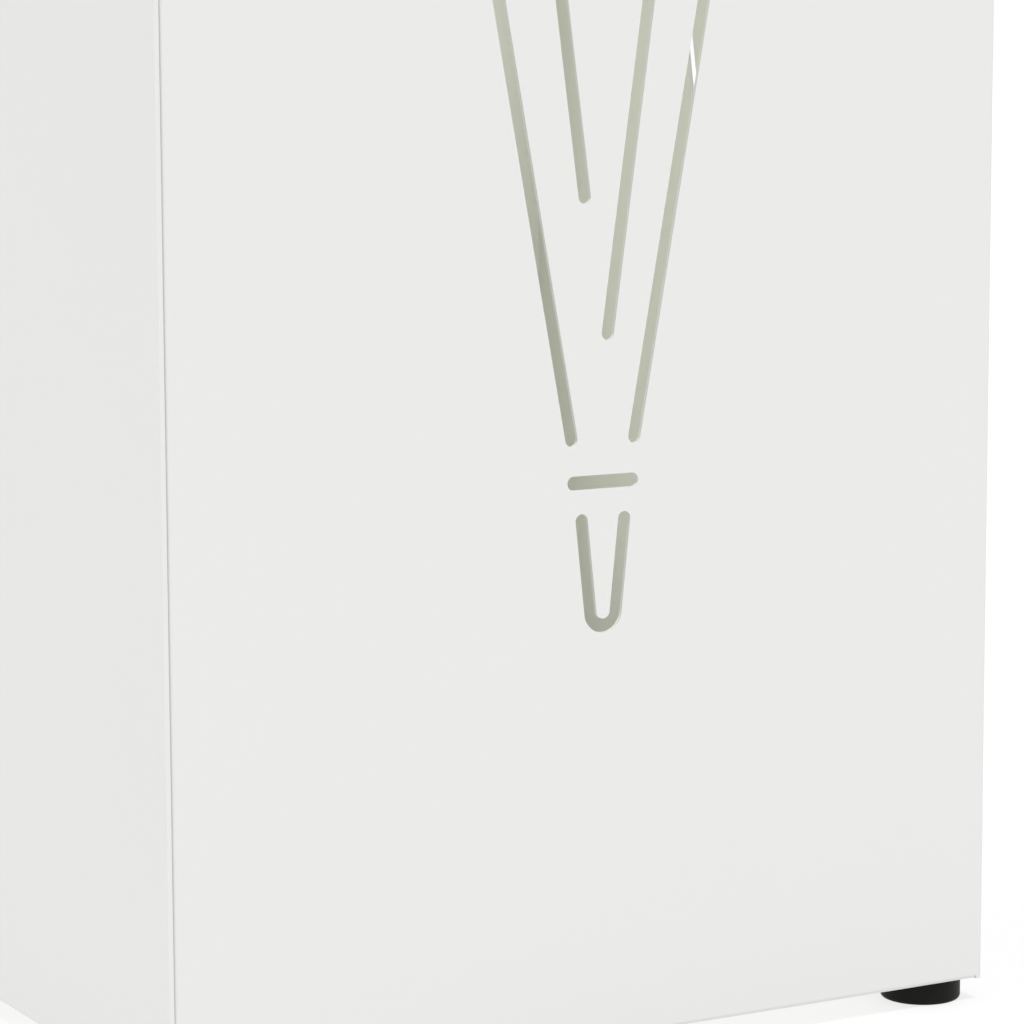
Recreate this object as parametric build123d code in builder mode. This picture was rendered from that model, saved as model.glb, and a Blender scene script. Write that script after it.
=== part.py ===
"""Square umbrella stand of folded, painted sheet steel.

Two L-shaped sheets make the column: a patterned one (front and right walls) with a closed umbrella
cut through each wall, and a plain one (left and rear walls) that laps over its seam flanges. Their
bottom flanges carry a base plate, clamped by the screws of four round feet. A drip tray stands on
the base plate, and four strip hooks hang over the rolled rim.

Millimetres, +Z up, origin on the floor under the middle of the column, front wall towards -Y.
"""

import os

from build123d import *

# Column
width = 155.0  # outside, across the walls
height = 485.0  # floor to the top of the rim
sheet = 0.7
bend_inner = 0.1  # inside radius of every fold
edge_break = 0.15  # rounding of the plain sheet's cut edges at the seams
bottom_flange = 16.0  # reach of the bottom flanges, measured from the outside
mitre_gap = 0.5  # between neighbouring flanges at a corner
seam_flange = 12.0  # reach of the seam flanges, measured from the outside
hem_depth = 10.0
hem_gap = 0.3  # between a wall and its folded-over hem
hem_notch = 3.0  # from the outside of a corner to the end of a hem

# Line-drawn umbrella, in each patterned wall: across from the wall's middle, up from its bottom edge
slot_width = 2.3
ferrule_low = 68.9
ferrule_height = 17.3
ferrule_half_tip = 2.4
ferrule_half_top = 4.0
tie_gap = 6.2  # from the ferrule's arms up to the tie
tie_half = 5.5
canopy_gap = 7.1  # from the tie up to the canopy's side lines
canopy_length = 200.0  # upright, of the side lines
canopy_half_low = 5.9
canopy_half_high = 43.3
left_fold_rise = 38.8  # from the side lines' low ends up to the fold's
left_fold_low = -3.4
left_fold_high = -24.0
right_fold_rise = 16.9
right_fold_low = 0.9
right_fold_high = 26.2
fold_top_gap = 7.8  # from the folds' high ends up to the side lines'
hem_line_rise = 5.0  # hem scallops' ends above the side lines
hem_bridge = 3.0  # half the metal and slot between neighbouring scallops
side_scallop_sag = 2.5
middle_scallop_sag = 8.0
shaft_gap = 12.0  # from the scallops' ends up to the shaft's slot
crook_margin = 53.0  # from the crook's middle line up to the rim
crook_radius = 13.0
crook_tip = 12.0

# Base plate and feet
plate = 0.8
plate_clearance = 0.5
plate_corner = 3.0
foot_diameter = 14.0
foot_height = 4.0
foot_edge = 0.6  # chamfer round the lower edge
foot_inset = 7.7  # foot centre from the outside of both walls
foot_floor = 1.4  # foot's thickness over the screw head

# Foot fixings, M4
screw_diameter = 4.0
screw_hole = 4.5
screw_length = 8.0
head_diameter = 8.0
head_height = 2.2
head_clearance = 0.4
recess_width = 0.9
recess_length = 4.2
recess_depth = 1.2
washer_diameter = 9.0
washer_thickness = 0.8
nut_flats = 7.0
nut_height = 3.2
nut_clearance = 0.05  # radial, round the screw

# Drip tray
tray_rim_clearance = 1.8  # from the hems, on each side
tray_height = 28.0
tray_wall = 1.8
tray_draft = 5.0  # how far each side leans in from rim to floor
tray_corner = 14.0
tray_lip = 2.0
tray_lip_thickness = 1.6
tray_foot = 1.0
tray_foot_width = 3.0

# Hooks
strip = 1.5
strip_width = 12.0
hook_side_clearance = 0.2
hook_top_clearance = 0.2
hook_lip = 12.0
hook_leg = 47.0
hook_gap = 13.5
hook_tip = 15.0
hook_flare = 3.0
hook_bend = 0.5
hook_round = 4.0

# Worked out from the sizes above
half = width / 2
bend_outer = bend_inner + sheet
hem_outer = sheet + hem_gap / 2
wall_height = height - foot_height
crown = wall_height - hem_outer  # where a hem's roll starts, above the bottom edge
plate_top = foot_height + sheet + plate
foot_place = half - foot_inset
seam_low = sheet + plate + plate_clearance
seam_high = wall_height - hem_depth - mitre_gap


def wall_plane(outward):
    """Outer face of a wall: x to the right seen from outside, y up from the bottom edge."""
    normal = Vector(*outward, 0)
    middle = normal * half + Vector(0, 0, foot_height)
    return Plane(origin=middle, x_dir=normal.rotate(Axis.Z, 90), z_dir=normal)


front = wall_plane((0, -1))
right = wall_plane((1, 0))
rear = wall_plane((0, 1))
left = wall_plane((-1, 0))


def section_plane(wall, start):
    """Cross-section of a wall at start: x inwards from the outer face, y up from the bottom edge."""
    return Plane(origin=wall.from_local_coords((start, 0, 0)), x_dir=-wall.z_dir, z_dir=wall.x_dir)


def add_wall(wall, start, end, cut_start=0.0, cut_end=0.0):
    """Adds one flat wall from start to end, with its bottom fold, mitred bottom flange and hem.

    The fold and flange stop a mitre gap short of each end, where the sheet runs down flat.
    cut_start and cut_end lengthen the sheet to a plain cut edge.
    """
    low = start + mitre_gap
    high = end - mitre_gap
    with BuildSketch(wall) as flat:
        with Locations(((start - cut_start + end + cut_end) / 2, crown / 2)):
            Rectangle(end - start + cut_start + cut_end, crown)
        with Locations(((low + high) / 2, 0)):
            Rectangle(high - low, 2 * bend_outer, mode=Mode.SUBTRACT)
    extrude(flat.sketch, amount=-sheet)
    with BuildSketch(section_plane(wall, low)) as fold_section:
        with BuildLine():
            fold = RadiusArc((0, bend_outer), (bend_outer, 0), -bend_outer)
            inner = RadiusArc((sheet, bend_outer), (bend_outer, sheet), -bend_inner)
            Line(fold @ 0, inner @ 0)
            Line(fold @ 1, inner @ 1)
        make_face()
    extrude(fold_section.sketch, amount=high - low)
    floor = Plane(origin=wall.origin, x_dir=wall.x_dir, z_dir=(0, 0, 1))
    with BuildSketch(floor) as flange:
        with BuildLine():
            Polyline(
                (low, bend_outer),
                (high, bend_outer),
                (half - bottom_flange - mitre_gap, bottom_flange),
                (bottom_flange + mitre_gap - half, bottom_flange),
                close=True,
            )
        make_face()
    extrude(flange.sketch, amount=sheet)
    with BuildSketch(section_plane(wall, hem_notch - half)) as hem:
        with Locations((hem_outer, crown)):
            Circle(hem_outer)
            Circle(hem_outer - sheet, mode=Mode.SUBTRACT)
            Rectangle(2 * hem_outer, hem_outer, align=(Align.CENTER, Align.MAX), mode=Mode.SUBTRACT)
        with Locations((2 * hem_outer, crown)):
            Rectangle(sheet, hem_depth - hem_outer, align=Align.MAX)
    extrude(hem.sketch, amount=width - 2 * hem_notch)


def add_corner(x, y, low, high, toward):
    """Adds an upright quarter-round fold, its centre at x, y, bulging along the toward signs."""
    with BuildSketch(Plane.XY.offset(foot_height + low)) as quarter:
        with Locations((x, y)):
            Circle(bend_outer)
            Circle(bend_inner, mode=Mode.SUBTRACT)
        with Locations((x + toward[0] * bend_outer / 2, y + toward[1] * bend_outer / 2)):
            Rectangle(bend_outer, bend_outer, mode=Mode.INTERSECT)
    extrude(quarter.sketch, amount=high - low)


def umbrella():
    """Draws the slots of the umbrella in a wall's plane: every stroke is a round-ended slot."""
    ferrule_high = ferrule_low + ferrule_height
    tie_height = ferrule_high + tie_gap
    canopy_low = tie_height + canopy_gap
    canopy_high = canopy_low + canopy_length
    fold_high = canopy_high - fold_top_gap
    with BuildLine(mode=Mode.PRIVATE) as ferrule:
        tip = ThreePointArc(
            (-ferrule_half_tip, ferrule_low + ferrule_half_tip),
            (0, ferrule_low),
            (ferrule_half_tip, ferrule_low + ferrule_half_tip),
        )
        Line((-ferrule_half_top, ferrule_high), tip @ 0)
        Line(tip @ 1, (ferrule_half_top, ferrule_high))
    SlotArc(ferrule.wire(), slot_width)
    strokes = [
        ((-tie_half, tie_height), (tie_half, tie_height)),
        ((-canopy_half_low, canopy_low), (-canopy_half_high, canopy_high)),
        ((canopy_half_low, canopy_low), (canopy_half_high, canopy_high)),
        ((left_fold_low, canopy_low + left_fold_rise), (left_fold_high, fold_high)),
        ((right_fold_low, canopy_low + right_fold_rise), (right_fold_high, fold_high)),
    ]
    for low, high in strokes:
        SlotArc(Edge.make_line(low, high), slot_width)
    hem_line = canopy_high + hem_line_rise
    scallops = [
        (-canopy_half_high + hem_bridge, left_fold_high - hem_bridge, side_scallop_sag),
        (left_fold_high + hem_bridge, right_fold_high - hem_bridge, middle_scallop_sag),
        (right_fold_high + hem_bridge, canopy_half_high - hem_bridge, side_scallop_sag),
    ]
    for start, end, sag in scallops:
        middle = ((start + end) / 2, hem_line - sag)
        SlotArc(Edge.make_three_point_arc((start, hem_line), middle, (end, hem_line)), slot_width)
    crook_centre = wall_height - crook_margin - crook_radius
    with BuildLine(mode=Mode.PRIVATE) as handle:
        shaft = Line((0, hem_line + shaft_gap), (0, crook_centre))
        crook = RadiusArc(shaft @ 1, (2 * crook_radius, crook_centre), crook_radius)
        Line(crook @ 1, crook @ 1 - Vector(0, crook_tip))
    SlotArc(handle.wire(), slot_width)


fold_start = bend_outer - half
seam_start = sheet + bend_outer - half

# Patterned sheet: front wall from the front left seam, right wall to the rear right seam
with BuildPart() as patterned_sheet:
    add_wall(front, seam_start, -fold_start)
    add_wall(right, fold_start, -seam_start)
    add_corner(-fold_start, fold_start, 0, crown, (1, -1))
    add_corner(seam_start, fold_start, 0, crown, (-1, -1))
    add_corner(-fold_start, -seam_start, 0, crown, (1, 1))
    with BuildSketch(Plane.XY.offset(foot_height + seam_low)):
        with Locations((sheet - half, fold_start)):
            Rectangle(sheet, seam_flange - bend_outer, align=Align.MIN)
        with Locations((-fold_start, half - sheet)):
            Rectangle(seam_flange - bend_outer, sheet, align=Align.MAX)
    extrude(amount=seam_high - seam_low)
    for wall in (front, right):
        with BuildSketch(wall):
            umbrella()
        extrude(amount=-2 * sheet, mode=Mode.SUBTRACT)

# Plain sheet: rear wall from the rear right seam, left wall to the front left seam
with BuildPart() as plain_sheet:
    add_wall(rear, fold_start, -fold_start, cut_start=bend_outer)
    add_wall(left, fold_start, -fold_start, cut_end=bend_outer)
    add_corner(fold_start, -fold_start, 0, crown, (-1, 1))
    for seam in ((-half, -half, height / 2), (half, half, height / 2)):
        fillet(plain_sheet.edges().filter_by(Axis.Z).sort_by_distance(seam)[0], edge_break)

corners = [(-foot_place, -foot_place), (foot_place, -foot_place)]
corners += [(foot_place, foot_place), (-foot_place, foot_place)]

for panel in (patterned_sheet, plain_sheet):
    with panel:
        with BuildSketch(Plane.XY.offset(foot_height)):
            with Locations(*corners):
                Circle(screw_hole / 2)
        extrude(amount=sheet, mode=Mode.SUBTRACT)

# Base plate: lies on the bottom flanges, inside the walls and seam flanges
with BuildPart() as base_plate:
    with BuildSketch(Plane.XY.offset(foot_height + sheet)):
        side = width - 2 * (sheet + plate_clearance)
        RectangleRounded(side, side, plate_corner)
        with Locations(*corners):
            Circle(screw_hole / 2, mode=Mode.SUBTRACT)
    extrude(amount=plate)

# Foot: a disc with a chamfered lower edge, bored for the screw and counterbored for its head
with BuildPart() as foot:
    Cylinder(foot_diameter / 2, foot_height, align=(Align.CENTER, Align.CENTER, Align.MIN))
    chamfer(foot.edges().group_by(Axis.Z)[0], foot_edge)
    with Locations(Plane.XY.rotated((180, 0, 0))):
        recess = foot_height - foot_floor
        CounterBoreHole(screw_hole / 2, head_diameter / 2 + head_clearance, recess)

# Foot screw: pan head with a cross recess, its shank through foot, flanges, plate, washer and nut
with BuildPart() as screw:
    head_top = foot_height - foot_floor
    with BuildSketch(Plane.XY.offset(head_top)):
        Circle(head_diameter / 2)
    extrude(amount=-head_height)
    chamfer(screw.edges().group_by(Axis.Z)[0], head_height / 3)
    with BuildSketch(Plane.XY.offset(head_top - head_height)):
        Rectangle(recess_length, recess_width)
        Rectangle(recess_width, recess_length)
    extrude(amount=recess_depth, mode=Mode.SUBTRACT)
    with BuildSketch(Plane.XY.offset(head_top)):
        Circle(screw_diameter / 2)
    extrude(amount=screw_length)

with BuildPart() as washer:
    with BuildSketch(Plane.XY.offset(plate_top)):
        Circle(washer_diameter / 2)
        Circle(screw_diameter / 2 + nut_clearance, mode=Mode.SUBTRACT)
    extrude(amount=washer_thickness)

with BuildPart() as nut:
    with BuildSketch(Plane.XY.offset(plate_top + washer_thickness)):
        RegularPolygon(nut_flats / 2, 6, major_radius=False)
        Circle(screw_diameter / 2 + nut_clearance, mode=Mode.SUBTRACT)
    extrude(amount=nut_height)

# Drip tray: leaning walls, an outward lip and a low foot ring, hollowed from the top
with BuildPart() as drip_tray:
    rim = width - 4 * hem_outer - 2 * tray_rim_clearance
    tray_top = plate_top + tray_height
    wall_rim = rim - 2 * tray_lip
    wall_floor = wall_rim - 2 * tray_draft
    with BuildSketch(Plane.XY.offset(plate_top + tray_foot)):
        RectangleRounded(wall_floor, wall_floor, tray_corner - tray_draft)
    with BuildSketch(Plane.XY.offset(tray_top)):
        RectangleRounded(wall_rim, wall_rim, tray_corner)
    loft()
    with BuildSketch(Plane.XY.offset(tray_top)):
        RectangleRounded(rim, rim, tray_corner + tray_lip)
    extrude(amount=-tray_lip_thickness)
    with BuildSketch(Plane.XY.offset(plate_top + tray_foot + tray_wall)):
        hollow_floor = wall_floor - 2 * tray_wall
        RectangleRounded(hollow_floor, hollow_floor, tray_corner - tray_draft - tray_wall)
    with BuildSketch(Plane.XY.offset(tray_top)):
        hollow_rim = wall_rim - 2 * tray_wall
        RectangleRounded(hollow_rim, hollow_rim, tray_corner - tray_wall)
    loft(mode=Mode.SUBTRACT)
    with BuildSketch(Plane.XY.offset(plate_top)):
        ring = wall_floor - 2 * tray_foot_width
        RectangleRounded(ring, ring, tray_corner - tray_draft)
        inner_ring = ring - 2 * tray_foot_width
        RectangleRounded(inner_ring, inner_ring, tray_corner - tray_draft, mode=Mode.SUBTRACT)
    extrude(amount=tray_foot)

# Hook: one strip bent over the rim, down inside the wall and up again into a hook
with BuildPart() as hook:
    outside = -hook_side_clearance - strip / 2
    inside = 2 * hem_outer + hook_side_clearance + strip / 2
    over = wall_height + hook_top_clearance + strip / 2
    low = wall_height - hook_leg
    bend = hook_bend + strip / 2
    turn = (hook_gap + strip) / 2
    section = section_plane(front, 0)
    with BuildSketch(section):
        with BuildLine() as path:
            lip = Line((outside, wall_height - hook_lip), (outside, over - bend))
            first = RadiusArc(lip @ 1, (outside + bend, over), bend)
            bridge = Line(first @ 1, (inside - bend, over))
            second = RadiusArc(bridge @ 1, (inside, over - bend), bend)
            leg = Line(second @ 1, (inside, low))
            cup = RadiusArc(leg @ 1, (inside + 2 * turn, low), -turn)
            tip = Line(cup @ 1, (inside + 2 * turn + hook_flare, low + hook_tip))
        trace(path.wire(), strip)
    extrude(amount=strip_width / 2, both=True)
    for end in (lip @ 0, tip @ 1):
        end_face = hook.faces().sort_by_distance(section.from_local_coords(end))[0]
        fillet(end_face.edges().filter_by(Axis.X, reverse=True), hook_round)


def write(name, solids):
    """Labels the solids of one node and writes them to its STEP file."""
    node = solids[0] if len(solids) == 1 else Compound(children=solids)
    node.label = name
    export_step(node, f"parts/{name}.step")


def at_corners(solid):
    """Copies of a solid modelled at the origin, one at each foot's place."""
    return [Pos(x, y, 0) * solid for x, y in corners]


os.makedirs("parts", exist_ok=True)
write("patterned_sheet", [patterned_sheet.part])
write("plain_sheet", [plain_sheet.part])
write("base_plate", [base_plate.part])
write("drip_tray", [drip_tray.part])
write("foot_screws", at_corners(screw.part))
write("foot_washers", at_corners(washer.part))
write("foot_nuts", at_corners(nut.part))
for place, solid in zip(("front_left", "front_right", "rear_right", "rear_left"), at_corners(foot.part)):
    write("foot_" + place, [solid])
for quarter, place in enumerate(("front", "right", "rear", "left")):
    write("hook_" + place, [Rot(0, 0, 90 * quarter) * hook.part])
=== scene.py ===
import math

import bmesh
import bpy
import numpy as np
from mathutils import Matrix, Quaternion, Vector


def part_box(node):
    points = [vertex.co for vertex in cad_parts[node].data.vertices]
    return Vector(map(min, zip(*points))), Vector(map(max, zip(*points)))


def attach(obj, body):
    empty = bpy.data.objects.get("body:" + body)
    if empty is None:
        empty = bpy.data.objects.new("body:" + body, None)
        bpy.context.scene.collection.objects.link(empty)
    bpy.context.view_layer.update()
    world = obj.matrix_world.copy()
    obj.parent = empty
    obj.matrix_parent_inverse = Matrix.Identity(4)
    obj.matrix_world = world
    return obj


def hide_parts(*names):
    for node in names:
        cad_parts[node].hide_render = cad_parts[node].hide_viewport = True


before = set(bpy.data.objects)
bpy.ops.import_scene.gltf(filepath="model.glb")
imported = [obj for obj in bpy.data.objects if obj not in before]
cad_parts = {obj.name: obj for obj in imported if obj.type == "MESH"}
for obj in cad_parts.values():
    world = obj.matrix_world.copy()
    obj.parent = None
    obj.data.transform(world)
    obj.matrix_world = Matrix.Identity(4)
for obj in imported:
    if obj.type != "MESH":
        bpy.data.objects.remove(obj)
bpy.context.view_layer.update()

# ---------------------------------------------------------------------------------------------
# The camera stands low in front of the stand's left corner, close enough that the lower part of
# the front wall fills the frame. It looks down by a few degrees, with no shift.
# ---------------------------------------------------------------------------------------------
camera_place = (-0.2943, -0.5664, 0.1657)
camera_yaw = math.radians(29.57)
camera_pitch = math.radians(7.41)
camera_roll = math.radians(-0.19)

camera_data = bpy.data.cameras.new("camera")
camera_data.sensor_width = 36.0
camera_data.lens = 125.25
camera_data.clip_start = 0.01
camera = bpy.data.objects.new("camera", camera_data)
bpy.context.scene.collection.objects.link(camera)
bpy.context.scene.camera = camera
forward = Vector((math.sin(camera_yaw) * math.cos(camera_pitch),
                  math.cos(camera_yaw) * math.cos(camera_pitch),
                  -math.sin(camera_pitch)))
camera.rotation_mode = "QUATERNION"
camera.rotation_quaternion = forward.to_track_quat("-Z", "Y") @ Quaternion((0, 0, 1), camera_roll)
camera.location = camera_place


# ---------------------------------------------------------------------------------------------
# The studio is a pale round floor under a soft white sky, brightest on the left and even near the
# horizon. One soft lamp stands high in front, a weaker and harder one high on the left, and both
# reach down into the stand. Corners lose the sky's light only over a short reach.
# ---------------------------------------------------------------------------------------------
white = (1.0, 1.0, 1.0, 1.0)
sky_bright_side = Vector((-0.90, -0.25, 0.35)).normalized()
sky_bright = 0.74
sky_dim = 0.383
sky_turn = (-0.7, 0.9)  # the sky grows brighter between these cosines from its bright side
horizon_white = 1.0
horizon_band = (0.12, 0.25)  # the horizon's white gives way to the sky between these heights
bounces = 2  # after these the sky's light stands in for the rest
bounce_light = 1.15
bounce_reach = 0.05  # and is less where another face lies nearer than this
lamps = {  # where each lamp stands, seen from the stand, then its strength and softness
    "front_lamp": ((0.0, -0.39, 1.0), 1.79, math.radians(9)),
    "left_lamp": ((-0.34, 0.057, 1.0), 0.93, math.radians(3)),
}
floor_radius = 40.0
floor_rings, floor_spokes = 12, 96
floor_grey = (0.18, 0.18, 0.18, 1.0)
floor_roughness = 0.7
floor_glow = 0.77


class Wire:
    """A socket in a material's nodes that can be used in a sum as a number would be."""

    def __init__(self, tree, socket):
        self.tree = tree
        self.socket = socket

    def node(self, kind, settings, values, output=0):
        """Adds one node: its settings first, then a value or a link for each of its sockets."""
        made = self.tree.nodes.new(kind)
        for name, value in settings.items():
            setattr(made, name, value)
        for name, value in values.items():
            if isinstance(value, Wire):
                self.tree.links.new(value.socket, made.inputs[name])
            else:
                made.inputs[name].default_value = value
        return Wire(self.tree, made.outputs[output])

    def maths(self, operation, first, second=0.0):
        """One Math node on wires or numbers."""
        return self.node("ShaderNodeMath", {"operation": operation}, {0: first, 1: second})

    def __add__(self, other):
        return self.maths("ADD", self, other)

    __radd__ = __add__

    def __sub__(self, other):
        return self.maths("SUBTRACT", self, other)

    def __rsub__(self, other):
        return self.maths("SUBTRACT", other, self)

    def __mul__(self, other):
        return self.maths("MULTIPLY", self, other)

    __rmul__ = __mul__

    def __abs__(self):
        return self.maths("ABSOLUTE", self)

    def over(self, low, high):
        """0 below low, 1 above high and a smooth step between."""
        return self.node("ShaderNodeMapRange", {"interpolation_type": "SMOOTHSTEP"},
                         {"Value": self, "From Min": low, "From Max": high})

    def blend(self, at_zero, at_one):
        """A colour between two. A Mix node has its colours at inputs 6 and 7 and at output 2."""
        return self.node("ShaderNodeMix", {"data_type": "RGBA"},
                         {0: self, 6: at_zero, 7: at_one}, 2)


def new_finish(name, constants):
    """A material of one Principled shader with constant sockets, and its object coordinates."""
    material = bpy.data.materials.new(name)
    material.use_nodes = True
    tree = material.node_tree
    shader = tree.nodes["Principled BSDF"]
    for socket, value in constants.items():
        shader.inputs[socket].default_value = value
    place = tree.nodes.new("ShaderNodeTexCoord")
    return material, Wire(tree, place.outputs["Object"])


def feed(material, **links):
    """Links wires to the Principled shader's sockets, named with _ for a space."""
    shader = material.node_tree.nodes["Principled BSDF"]
    for name, wire in links.items():
        material.node_tree.links.new(wire.socket, shader.inputs[name.replace("_", " ")])


def skin(name, grids, close_rows=False, close_columns=False):
    """One smooth piece over grids of points: every cell of four neighbouring points is a face.

    A grid runs rows by columns. Closing rows joins the last row to the first, and closing columns
    joins the last column to the first. Points that fall together, as at a pole, are merged.
    """
    points, faces, count = [], [], 0
    for grid in grids:
        rows, columns = grid.shape[:2]
        index = count + np.arange(rows * columns).reshape(rows, columns)
        count += rows * columns
        if close_rows:
            index = np.vstack([index, index[:1]])
        if close_columns:
            index = np.hstack([index, index[:, :1]])
        cells = [index[:-1, :-1], index[:-1, 1:], index[1:, 1:], index[1:, :-1]]
        faces.append(np.stack(cells, axis=-1).reshape(-1, 4))
        points.append(grid.reshape(-1, 3))
    mesh = bpy.data.meshes.new(name)
    mesh.from_pydata(np.concatenate(points).tolist(), [], np.concatenate(faces).tolist())
    soft = bmesh.new()
    soft.from_mesh(mesh)
    bmesh.ops.remove_doubles(soft, verts=soft.verts, dist=1e-7)
    bmesh.ops.recalc_face_normals(soft, faces=soft.faces)
    soft.to_mesh(mesh)
    soft.free()
    mesh.shade_smooth()
    piece = bpy.data.objects.new(name, mesh)
    bpy.context.scene.collection.objects.link(piece)
    return piece


def around(reach, bearing, height):
    """Points at a distance from the upright axis, in a direction from it and at a height."""
    across, along = reach * np.cos(bearing), reach * np.sin(bearing)
    return np.stack(np.broadcast_arrays(across, along, height), -1)


world = bpy.data.worlds.new("sky")
bpy.context.scene.world = world
world.use_nodes = True
sky = world.node_tree
toward = Wire(sky, sky.nodes.new("ShaderNodeTexCoord").outputs["Generated"])
facing = toward.node("ShaderNodeVectorMath", {"operation": "DOT_PRODUCT"},
                     {0: toward, 1: sky_bright_side}, 1)
upwards = toward.node("ShaderNodeSeparateXYZ", {}, {0: toward}, 2)
dome = sky_dim + (sky_bright - sky_dim) * facing.over(*sky_turn)
radiance = horizon_white + abs(upwards).over(*horizon_band) * (dome - horizon_white)
background = sky.nodes["Background"]
background.inputs["Color"].default_value = white
sky.links.new(radiance.socket, background.inputs["Strength"])

# The floor is a disc whose rings' radii grow as squares do, from its middle to its edge.
floor_reach = floor_radius * np.linspace(0, 1, floor_rings)[:, None] ** 2
floor_bearings = np.linspace(0, 2 * np.pi, floor_spokes, endpoint=False)
floor = skin("floor", [around(floor_reach, floor_bearings, 0.0)], close_columns=True)
floor_finish, _ = new_finish("pale_floor", {
    "Base Color": floor_grey,
    "Roughness": floor_roughness,
    "Emission Color": white,
    "Emission Strength": floor_glow,
})
floor.data.materials.append(floor_finish)

for name, (place, strength, softness) in lamps.items():
    lamp_data = bpy.data.lights.new(name, "SUN")
    lamp_data.energy = strength
    lamp_data.angle = softness
    lamp = bpy.data.objects.new(name, lamp_data)
    lamp.rotation_mode = "QUATERNION"
    lamp.rotation_quaternion = Vector(place).to_track_quat("Z", "Y")
    bpy.context.scene.collection.objects.link(lamp)

bpy.context.scene.view_settings.view_transform = "Standard"
bpy.context.scene.cycles.use_fast_gi = True
bpy.context.scene.cycles.fast_gi_method = "REPLACE"
bpy.context.scene.cycles.ao_bounces_render = bounces
world.light_settings.distance = bounce_reach
world.light_settings.ao_factor = bounce_light


# ---------------------------------------------------------------------------------------------
# The column is two L-shaped sheets of 0.7 mm steel, folded, hemmed and spot-welded at two seams,
# one of them cut with the umbrella, and a flat floor that lies on their flanges. The powder coat
# is satin white with a fine orange peel. Deep inside, a brighter and warmer white is painted in
# as bounced light, and it fades out upwards.
# ---------------------------------------------------------------------------------------------
outer_white = (0.743, 0.744, 0.730, 1.0)
# painted light: this brighter, warmer white deep inside stands in for light bounced about in the
# well
painted_bounce_white = (0.842, 0.852, 0.766, 1.0)
painted_bounce_fade = (0.30, 0.47)  # the painted bounce light gives way to the outer white between these heights
coat_roughness = 0.34
coat_unevenness = 0.10
cloud_scale = 14.0
peel_scale = 900.0
peel_depth = 0.00003
weld_inset = 0.0070  # from the outside of the wall beside the seam
weld_spacing = 0.060
weld_radius = 0.0026
weld_flat = 0.00195  # radius of a weld's even middle
weld_depth = 0.00012
sheet_thickness = 0.0007
outer_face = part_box("plain_sheet")[1].y  # of the walls, from the column's middle
flange_face = outer_face - 2 * sheet_thickness  # inside of the flange behind a wall at a seam
weld_place = outer_face - weld_inset


def powder_coat(name):
    """White powder coat. A point is inside where the larger of |x| and |y| is less than that of
    the middle of a wall's thickness. There a brighter, warmer white is painted in for bounced
    light, and it fades out upwards. Coarse noise makes the gloss uneven and fine noise makes the
    peel. A weld is a hollow on the inside, round each of the points that lie weld_spacing apart
    up both seams."""
    material, place = new_finish(name, {"IOR": 1.5})
    x, y, z = (place.node("ShaderNodeSeparateXYZ", {}, {"Vector": place}, axis)
               for axis in range(3))
    out_from_middle = x.maths("MAXIMUM", abs(x), abs(y))
    inside = 1 - out_from_middle.over(outer_face - 0.6 * sheet_thickness,
                                      outer_face - 0.4 * sheet_thickness)
    # painted light: low inside the column the colour turns to a brighter, warmer white in place of
    # bounced light
    painted_bounce_share = inside * (1 - z.over(*painted_bounce_fade))
    coat_and_painted_bounce = painted_bounce_share.blend(outer_white, painted_bounce_white)
    cloud = place.node("ShaderNodeTexNoise", {},
                       {"Vector": place, "Scale": cloud_scale, "Detail": 3.0})
    peel = place.node("ShaderNodeTexNoise", {},
                      {"Vector": place, "Scale": peel_scale, "Detail": 2.0})
    along = z.maths("PINGPONG", z, weld_spacing / 2)
    front_square = (x + flange_face) * (x + flange_face) + (y + weld_place) * (y + weld_place)
    rear_square = (x - weld_place) * (x - weld_place) + (y - flange_face) * (y - flange_face)
    from_seam_square = x.maths("MINIMUM", front_square, rear_square)
    from_weld = x.maths("SQRT", from_seam_square + along * along)
    weld = from_weld.over(weld_flat, weld_radius) * inside
    peel_bump = place.node("ShaderNodeBump", {},
                           {"Height": peel, "Strength": 0.12, "Distance": peel_depth})
    weld_bump = place.node("ShaderNodeBump", {},
                           {"Height": weld, "Distance": weld_depth, "Normal": peel_bump})
    feed(material, Base_Color=coat_and_painted_bounce, Roughness=coat_roughness + coat_unevenness * cloud,
         Normal=weld_bump)
    return material


def hard_edged(piece, degrees):
    """Keeps edges sharper than an angle crisp, and flat faces evenly shaded up to their folds."""
    piece.data.set_sharp_from_angle(angle=math.radians(degrees))
    flat = piece.modifiers.new("flat_faces", "WEIGHTED_NORMAL")
    flat.keep_sharp = True


def joined_copy(node, name):
    """A copy of a CAD node with its loose triangles joined, so that its folds shade smoothly."""
    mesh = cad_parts[node].data.copy()
    mesh.name = name
    joined = bmesh.new()
    joined.from_mesh(mesh)
    bmesh.ops.remove_doubles(joined, verts=joined.verts, dist=2e-6)
    joined.to_mesh(mesh)
    joined.free()
    mesh.attributes.remove(mesh.attributes["custom_normal"])
    mesh.materials.clear()
    mesh.shade_smooth()
    piece = bpy.data.objects.new(name, mesh)
    bpy.context.scene.collection.objects.link(piece)
    return piece


def settle(piece, finish, body, node):
    """Gives a piece its finish and slot, hides the CAD node it stands for, and lets it ride."""
    piece.data.materials.append(finish)
    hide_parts(node)
    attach(piece, body)


coat = powder_coat("powder_coat")
for node, name in (("patterned_sheet", "patterned_walls"), ("plain_sheet", "plain_walls")):
    walls = joined_copy(node, name)
    hard_edged(walls, degrees=35)
    settle(walls, coat, "stand", node)
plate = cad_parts["base_plate"]
plate.data.materials.clear()
plate.data.materials.append(coat)


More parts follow.
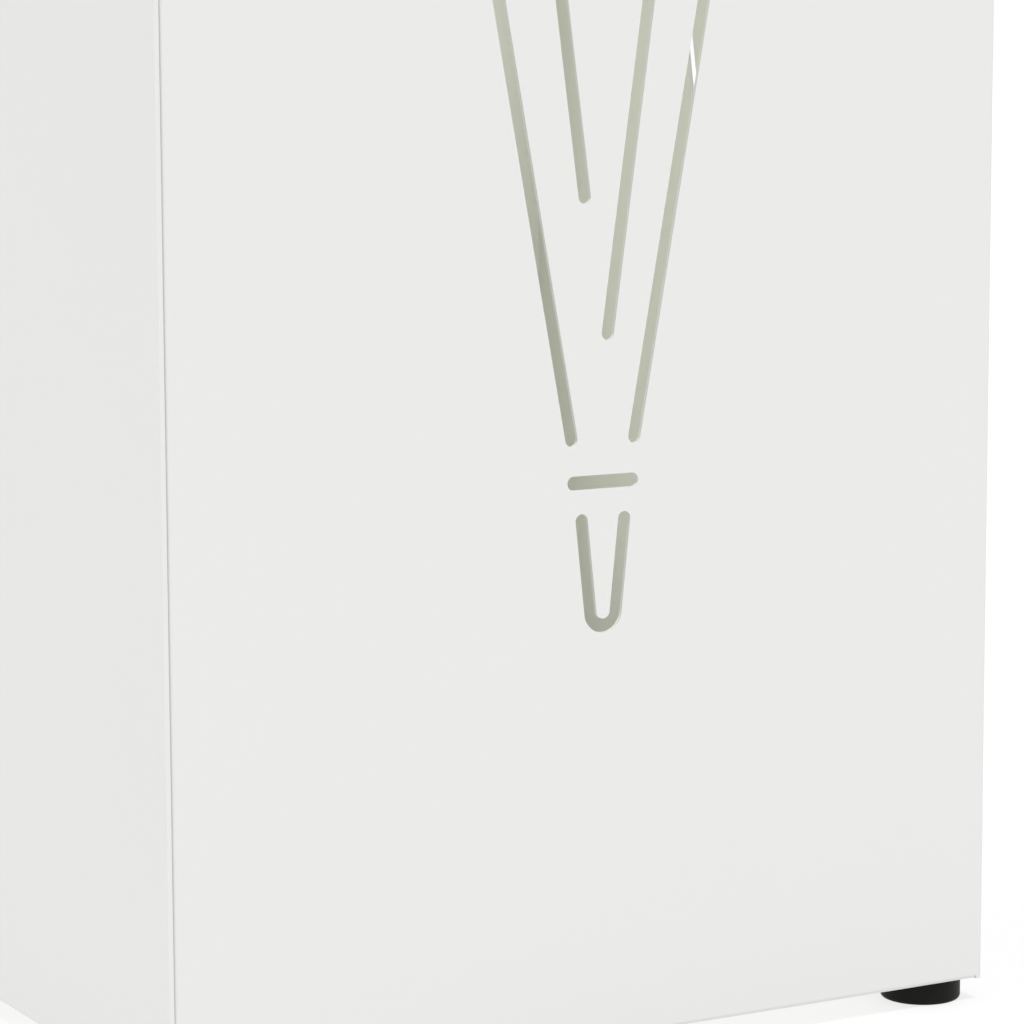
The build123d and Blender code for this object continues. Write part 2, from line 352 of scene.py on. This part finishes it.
# ---------------------------------------------------------------------------------------------
# Each foot is a moulded black disc with a rounded lower edge, bored for its screw and hollowed
# underneath for the screw's head. It stands on the floor and carries the column's corner.
# ---------------------------------------------------------------------------------------------
mm = 0.001  # the sizes from here on are in millimetres
foot_radius = 7.0
foot_height = 4.0
foot_bore = 2.25
foot_hollow = 4.4
foot_hollow_depth = 2.6
foot_corners = [(foot_bore, foot_height), (foot_radius, foot_height),
                (foot_radius, 0.0), (foot_hollow, 0.0),
                (foot_hollow, foot_hollow_depth), (foot_bore, foot_hollow_depth)]
foot_rounding = [0.15, 0.25, 0.8, 0.35, 0.3, 0.2]
foot_black = (0.0065, 0.0065, 0.0055, 1.0)
grain_depth = 0.06
grain_unevenness = 0.12
bearings = np.linspace(0, 2 * np.pi, 72, endpoint=False)  # of the columns of turned pieces


def rounded(corners, reaches, steps=6):
    """A closed outline with rounded corners: a curve leaves each side a reach before the corner
    and meets the next side a reach after it, pulled towards the corner in between."""
    corners = np.array(corners, float)
    reaches = np.array(reaches, float)[:, None]
    before = np.roll(corners, 1, axis=0) - corners
    after = np.roll(corners, -1, axis=0) - corners
    start = corners + reaches * before / np.linalg.norm(before, axis=1, keepdims=True)
    end = corners + reaches * after / np.linalg.norm(after, axis=1, keepdims=True)
    way = np.linspace(0, 1, steps)[:, None, None]
    curves = (1 - way) ** 2 * start + 2 * way * (1 - way) * corners + way ** 2 * end
    return curves.transpose(1, 0, 2).reshape(-1, 2)


def turned(outline):
    """A grid for a ring turned about the upright axis, from its outline's radii and heights."""
    return around(outline[:, :1], bearings, outline[:, 1:])


def middle_of(node):
    """The middle of a node's box, at its lowest height."""
    low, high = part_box(node)
    return np.array(((low.x + high.x) / 2, (low.y + high.y) / 2, low.z))


def moulded(name, colour, gloss, roughness, grain):
    """Moulded plastic with an even eroded grain, from fine noise in height and in gloss. The
    noise's mean is one half, so half of the unevenness is first taken off the roughness."""
    material, place = new_finish(name, {"Base Color": colour, "Specular IOR Level": gloss})
    fine = place.node("ShaderNodeTexNoise", {}, {"Vector": place, "Scale": grain, "Detail": 3.0})
    bump = place.node("ShaderNodeBump", {},
                      {"Height": fine, "Strength": 0.35, "Distance": mm * grain_depth})
    smoothest = roughness - grain_unevenness / 2
    feed(material, Roughness=smoothest + grain_unevenness * fine, Normal=bump)
    return material


foot_grid = mm * turned(rounded(foot_corners, foot_rounding))
foot_finish = moulded("foot_plastic", foot_black, gloss=0.12, roughness=0.50, grain=2600.0)
for corner in ("front_left", "front_right", "rear_right", "rear_left"):
    node = "foot_" + corner
    foot = skin("disc_" + node, [foot_grid + middle_of(node)], close_rows=True, close_columns=True)
    hard_edged(foot, degrees=60)
    settle(foot, foot_finish, "stand", node)


# ---------------------------------------------------------------------------------------------
# Each foot's fixing is a zinc-plated M4 pan-head screw with a cross recess, put in from below,
# with a washer and a hexagon nut on the base plate.
# ---------------------------------------------------------------------------------------------
screw_radius = 2.0
screw_total = 10.2
head_radius = 4.0
head_height = 2.2
head_dome = 0.75  # from the head's middle up to its edge
head_rings = [0, 0.25, 0.45, 0.6, 0.72, 0.85, 1.0, 1.2, 1.4, 1.6, 1.8, 1.98, 2.22, 2.35, 2.6, 2.9,
              3.2, 3.5, 3.75, 3.9, head_radius]
recess_half_width = 0.45
recess_half_length = 2.1
recess_depth = 1.2
recess_shallowing = 0.45  # the share of its depth that it loses towards the ends of its arms
recess_side_slope = 0.09  # widths over which its sides and its ends slope
recess_end_slope = 0.24
widest_side = 0.7  # radians from an arm's middle line, short of an eighth of a turn
gathered_to = 2.4  # the radius up to which the head's points gather at the recess
gathered_fade = 1.4
thread_pitch = 0.7
thread_rows = 6  # in each pitch
thread_depth = 0.42
thread_flat = 0.1  # the share of a flank that is flat, at the crest and at the root
thread_runout = 0.8
thread_stop = 0.35  # short of the screw's end
washer_height = 0.8
washer_radius = 4.5
hole_radius = 2.05
nut_height = 3.2
nut_half_flats = 3.5
nut_chamfer_radius = 3.35
nut_chamfer = math.radians(30)
nut_bevel = 0.25
zinc_blue = (0.55, 0.57, 0.60, 1.0)
zinc_yellow = (0.68, 0.68, 0.66, 1.0)
spangle_scale = 700.0
spangle_depth = 0.02
zinc_roughness = 0.22
zinc_unevenness = 0.2


def fixings(node, grid):
    """Copies of one fixing's grid at the four foot places, with its lowest point at the node's."""
    low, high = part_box(node)
    reach = (high.x - low.x) / 2 - mm * np.abs(grid[..., 0]).max()
    corners = ((-1, -1), (1, -1), (1, 1), (-1, 1))
    return [mm * grid + np.array((a * reach, b * reach, low.z)) for a, b in corners]


def head_bearings(ring):
    """The directions of the points on the head's rings. Up to gathered_to they gather just beside
    the recess's arms, whose sides lie at arcsin(half width / radius) from their middle lines, and
    further out they spread evenly again. An eighth of a turn is mirrored and repeated."""
    beside = 1.1 * recess_half_width
    side = np.arcsin(np.minimum(beside / np.maximum(ring, 0.01), math.sin(widest_side)))
    # Of the ten points in an eighth of a turn, four lead to the arm's side and six lead past it.
    to_side = np.array([0, 0.45, 0.82, 1, 1, 1, 1, 1, 1, 1])
    past_side = np.concatenate([np.zeros(3), np.linspace(0, 1, 7)])
    eighth = side * to_side + (np.pi / 4 - side) * past_side
    quarter = np.hstack([eighth[:, :9], np.pi / 2 - eighth[:, :0:-1]])
    gathered = np.hstack([quarter + turn * np.pi / 2 for turn in range(4)])
    return gathered + np.clip((ring - gathered_to) / gathered_fade, 0, 1) * (bearings - gathered)


# The head's underside rises as the fourth power of the radius. In the cross, where the smaller of
# |x| and |y| is under the arms' half width, it also rises into the recess.
ring = np.array(head_rings)[:, None]
spread = head_bearings(ring)
off_arm = np.minimum(abs(ring * np.cos(spread)), abs(ring * np.sin(spread)))
in_recess = np.clip((recess_half_width - off_arm) / recess_side_slope + 0.5, 0, 1)
in_recess *= np.clip((recess_half_length - ring) / recess_end_slope + 0.5, 0, 1)
recess_rise = recess_depth * (1 - recess_shallowing * ring / recess_half_length) * in_recess
head_rise = head_dome * (ring / head_radius) ** 4 + recess_rise
collar = rounded([(head_radius, head_dome), (head_radius, head_height),
                  (screw_radius, head_height)], [0, 0.2, 0], steps=4)

# The thread's depth is a flat-topped wave of the height less the turn, which makes a helix.
thread_step = thread_pitch / thread_rows
thread_rise = np.arange(head_height, screw_total - thread_stop, thread_step)[:, None]
flank = abs(2 * ((thread_rise / thread_pitch - bearings / (2 * np.pi)) % 1) - 1)
cut = np.clip((flank - thread_flat) / (1 - 2 * thread_flat), 0, 1)
runout = np.clip((thread_rise - head_height) / thread_runout, 0, 1)
thread_reach = screw_radius - thread_depth * runout * cut
end_reach = np.array([[screw_radius - thread_depth], [0.0]])
screw_grid = np.vstack([around(ring, spread, head_rise), turned(collar),
                        around(thread_reach, bearings, thread_rise),
                        around(end_reach, bearings, screw_total)])

washer_grid = turned(rounded([(hole_radius, 0), (washer_radius, 0), (washer_radius, washer_height),
                              (hole_radius, washer_height)], [0.1, 0.15, 0.15, 0.1], steps=4))

# The nut's side lies at half flats / cos(angle from a side's middle), and a cone takes its corners.
hexagon = nut_half_flats / np.cos(bearings % (np.pi / 3) - np.pi / 6)
corner_cut = math.tan(nut_chamfer) * (hexagon - nut_chamfer_radius)
nut_rows = [(hole_radius, nut_bevel), (hole_radius + nut_bevel, 0.0), (nut_chamfer_radius, 0.0),
            (hexagon, corner_cut), (hexagon, nut_height - corner_cut),
            (nut_chamfer_radius, nut_height), (hole_radius + nut_bevel, nut_height),
            (hole_radius, nut_height - nut_bevel)]
nut_grid = np.stack([around(reach, bearings, rise) for reach, rise in nut_rows])

zinc, place = new_finish("bright_zinc", {"Metallic": 1.0})
spangle = place.node("ShaderNodeTexNoise", {},
                     {"Vector": place, "Scale": spangle_scale, "Detail": 4.0})
zinc_bump = place.node("ShaderNodeBump", {},
                       {"Height": spangle, "Strength": 0.15, "Distance": mm * spangle_depth})
feed(zinc, Base_Color=spangle.blend(zinc_blue, zinc_yellow),
     Roughness=zinc_roughness + zinc_unevenness * spangle, Normal=zinc_bump)

for name, node, grid, ring_shaped in (("pan_head_screws", "foot_screws", screw_grid, False),
                                      ("washers", "foot_washers", washer_grid, True),
                                      ("hexagon_nuts", "foot_nuts", nut_grid, True)):
    fixing = skin(name, fixings(node, grid), close_rows=ring_shaped, close_columns=True)
    hard_edged(fixing, degrees=27)
    settle(fixing, zinc, "stand", node)


# ---------------------------------------------------------------------------------------------
# The drip tray is one grey moulding that stands loose on the base plate. Its walls lean in to
# a low foot ring, its rim turns outwards, and shallow ribs on its floor keep the tips dry.
# ---------------------------------------------------------------------------------------------
tray_height = 28.0
tray_wall = 1.8
tray_lean = 5.0
tray_lip = 2.0
tray_lip_height = 1.6
tray_foot_height = 1.0
tray_foot_width = 3.0  # also how far it stands in from the wall's foot
tray_rounding = [0.0, 0.3, 0.3, 0.3, 0.3, 1.0, 0.5, 0.4, 0.7, 0.8, 2.0, 0.0]
tray_corner_square = 58.0  # half side of the square that the corner arcs' centres make
least_corner = 7.0
least_corner_share = 0.35  # of a half side near the middle, where the least corner is too large
rib_spacing = 8.0
rib_height = 0.7
rib_half_width = 1.1
rib_steepness = 1.6  # its sides are this much steeper than a ridge's, and its top is flat
rib_inset = 3.0  # from the wall's foot
rib_free_middle = 12.0
tray_grey = (0.60, 0.60, 0.59, 1.0)

tray_low, tray_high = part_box("drip_tray")
rim_half = (tray_high.x - tray_low.x) / 2 / mm
wall_rim = rim_half - tray_lip
wall_floor = wall_rim - tray_lean
lip_under = tray_height - tray_lip_height
up_to_lip = (lip_under - tray_foot_height) / (tray_height - tray_foot_height)
wall_under_lip = wall_floor + tray_lean * up_to_lip
foot_outer = wall_floor - tray_foot_width
foot_inner = foot_outer - tray_foot_width
inner_floor = tray_foot_height + tray_wall

# The outline goes from the middle of the underside out and up to the rim, then down and over the
# ribs to the middle. Its first and last corner only give their neighbours a direction.
tray_steps = 5
tray_skin = rounded(
    [(0, tray_foot_height), (foot_inner, tray_foot_height), (foot_inner, 0), (foot_outer, 0),
     (foot_outer, tray_foot_height), (wall_floor, tray_foot_height), (wall_under_lip, lip_under),
     (rim_half, lip_under), (rim_half, tray_height), (wall_rim - tray_wall, tray_height),
     (wall_floor - tray_wall, inner_floor), (0, inner_floor)],
    tray_rounding, tray_steps)[tray_steps:-tray_steps]
rib_reach = np.linspace(wall_floor - tray_wall - rib_inset, 1.0, 220)
off_rib = abs((rib_reach + rib_spacing / 2) % rib_spacing - rib_spacing / 2)
rib_rise = rib_height * np.clip(rib_steepness * (1 - off_rib / rib_half_width), 0, 1)
rib_rise[rib_reach < rib_free_middle] = 0
tray_outline = np.vstack([(0, tray_foot_height), tray_skin,
                          np.stack([rib_reach, inner_floor + rib_rise], -1), (0, inner_floor)])


def boxed(half_across, half_along, corner, columns):
    """The points round a rectangle with rounded corners, as two coordinates: each quarter's arc
    is centred inside its corner, and straight sides join the arcs."""
    quarter = np.repeat(np.arange(4), columns)
    bearing = np.tile(np.linspace(0, np.pi / 2, columns), 4) + quarter * np.pi / 2
    side_across = np.sign(np.cos((quarter + 0.5) * np.pi / 2))
    side_along = np.sign(np.sin((quarter + 0.5) * np.pi / 2))
    return (side_across * (half_across - corner) + corner * np.cos(bearing),
            side_along * (half_along - corner) + corner * np.sin(bearing))


# The outline is carried round a square. Each half side's corner is what lies outside the corner
# square, or on the floor the least corner.
half, rise = tray_outline[:, :1], tray_outline[:, 1:]
corner = np.maximum(half - tray_corner_square, np.minimum(least_corner_share * half, least_corner))
across, along = boxed(half, half, corner, columns=10)
tray_grid = mm * np.stack(np.broadcast_arrays(across, along, rise), -1)
tray = skin("ribbed_tray", [tray_grid + middle_of("drip_tray")], close_columns=True)
hard_edged(tray, degrees=50)
tray_finish = moulded("tray_plastic", tray_grey, gloss=0.4, roughness=0.42, grain=1800.0)
settle(tray, tray_finish, "tray", "drip_tray")


# ---------------------------------------------------------------------------------------------
# Each hook is one steel strip, coated white like the walls. It hangs over the rolled rim by its
# short outer lip, and its long inner leg turns up into a hook for a short umbrella.
# ---------------------------------------------------------------------------------------------
strip_thickness = 1.5
strip_half_width = 6.0
strip_edge = 0.35
strip_end_round = 4.0
lip_drop = 13.7  # from the hook's top down to the lip's end
leg_across = 3.6  # between the middles of lip and leg
leg_drop = 48.7
leg_rows = (30.0, 20.0, 10.0, 3.0, 0.5)  # heights above the cup
cup_radius = 7.5
cup_rows = 28
bend_reach = 1.6
tip_rise = 15.0
tip_lean = 3.0
end_rows = np.array([0.0, 0.04, 0.12, 0.25, 0.45, 0.7, 1.0])[:, None]
end_stretch = 5.0  # the length at each end that these rows share out


def strip_line():
    """The strip's middle line as inward distance and height from its outermost and top faces:
    straight lip, two tight bends over the rim, straight leg, a half circle and a leaning tip."""
    half = strip_thickness / 2
    leg_at = half + leg_across
    corners = [(half, -lip_drop), (half, -half), (leg_at, -half), (leg_at, -leg_drop)]
    bends = rounded(corners, [0, bend_reach, bend_reach, 0], steps=8)[8:-8]
    lip = np.array(corners[0]) + end_rows * np.array([0, end_stretch])
    leg = np.array([[leg_at, -leg_drop + rise] for rise in leg_rows])
    turn = np.linspace(0, np.pi, cup_rows)[:, None]
    cup_middle = np.array([leg_at + cup_radius, -leg_drop])
    cup = cup_middle + cup_radius * np.hstack([-np.cos(turn), -np.sin(turn)])
    run = np.array([tip_lean, tip_rise])
    tip = cup[-1] + run - end_rows[::-1] * run * end_stretch / np.linalg.norm(run)
    return np.vstack([lip, bends, leg, cup, tip])


def strip_grid():
    """A rounded rectangle carried along the strip's line, square to it. Near each end its width
    shrinks as a quarter circle does, and the last row closes it on the middle line."""
    line = strip_line()
    step = np.gradient(line, axis=0)
    step /= np.linalg.norm(step, axis=1, keepdims=True)
    square = np.stack([-step[:, 1], step[:, 0]], -1)
    length = np.concatenate([[0], np.cumsum(np.linalg.norm(np.diff(line, axis=0), axis=1))])
    from_end = np.minimum(length, length[-1] - length)
    short_of = np.clip(strip_end_round - from_end, 0, strip_end_round)
    width = strip_half_width - strip_end_round + np.sqrt(strip_end_round ** 2 - short_of ** 2)
    across, depth = boxed(width[:, None], strip_thickness / 2, strip_edge, columns=5)
    inward = line[:, :1] + square[:, :1] * depth
    height = line[:, 1:] + square[:, 1:] * depth
    grid = np.stack([across, inward, height], -1)
    first, last = (np.repeat(row.mean(1, keepdims=True), grid.shape[1], 1)
                   for row in (grid[:1], grid[-1:]))
    return np.vstack([first, grid, last])


low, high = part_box("hook_front")
front_hook = mm * strip_grid() + np.array((0, low.y, high.z))
hook_coat = powder_coat("hook_coat")
for quarter, side in enumerate(("front", "right", "rear", "left")):
    turn = quarter * np.pi / 2
    spin = np.array([[math.cos(turn), math.sin(turn), 0],
                     [-math.sin(turn), math.cos(turn), 0],
                     [0, 0, 1]])
    hook = skin("strip_hook_" + side, [front_hook @ spin], close_columns=True)
    hard_edged(hook, degrees=50)
    settle(hook, hook_coat, side + "_hook", "hook_" + side)
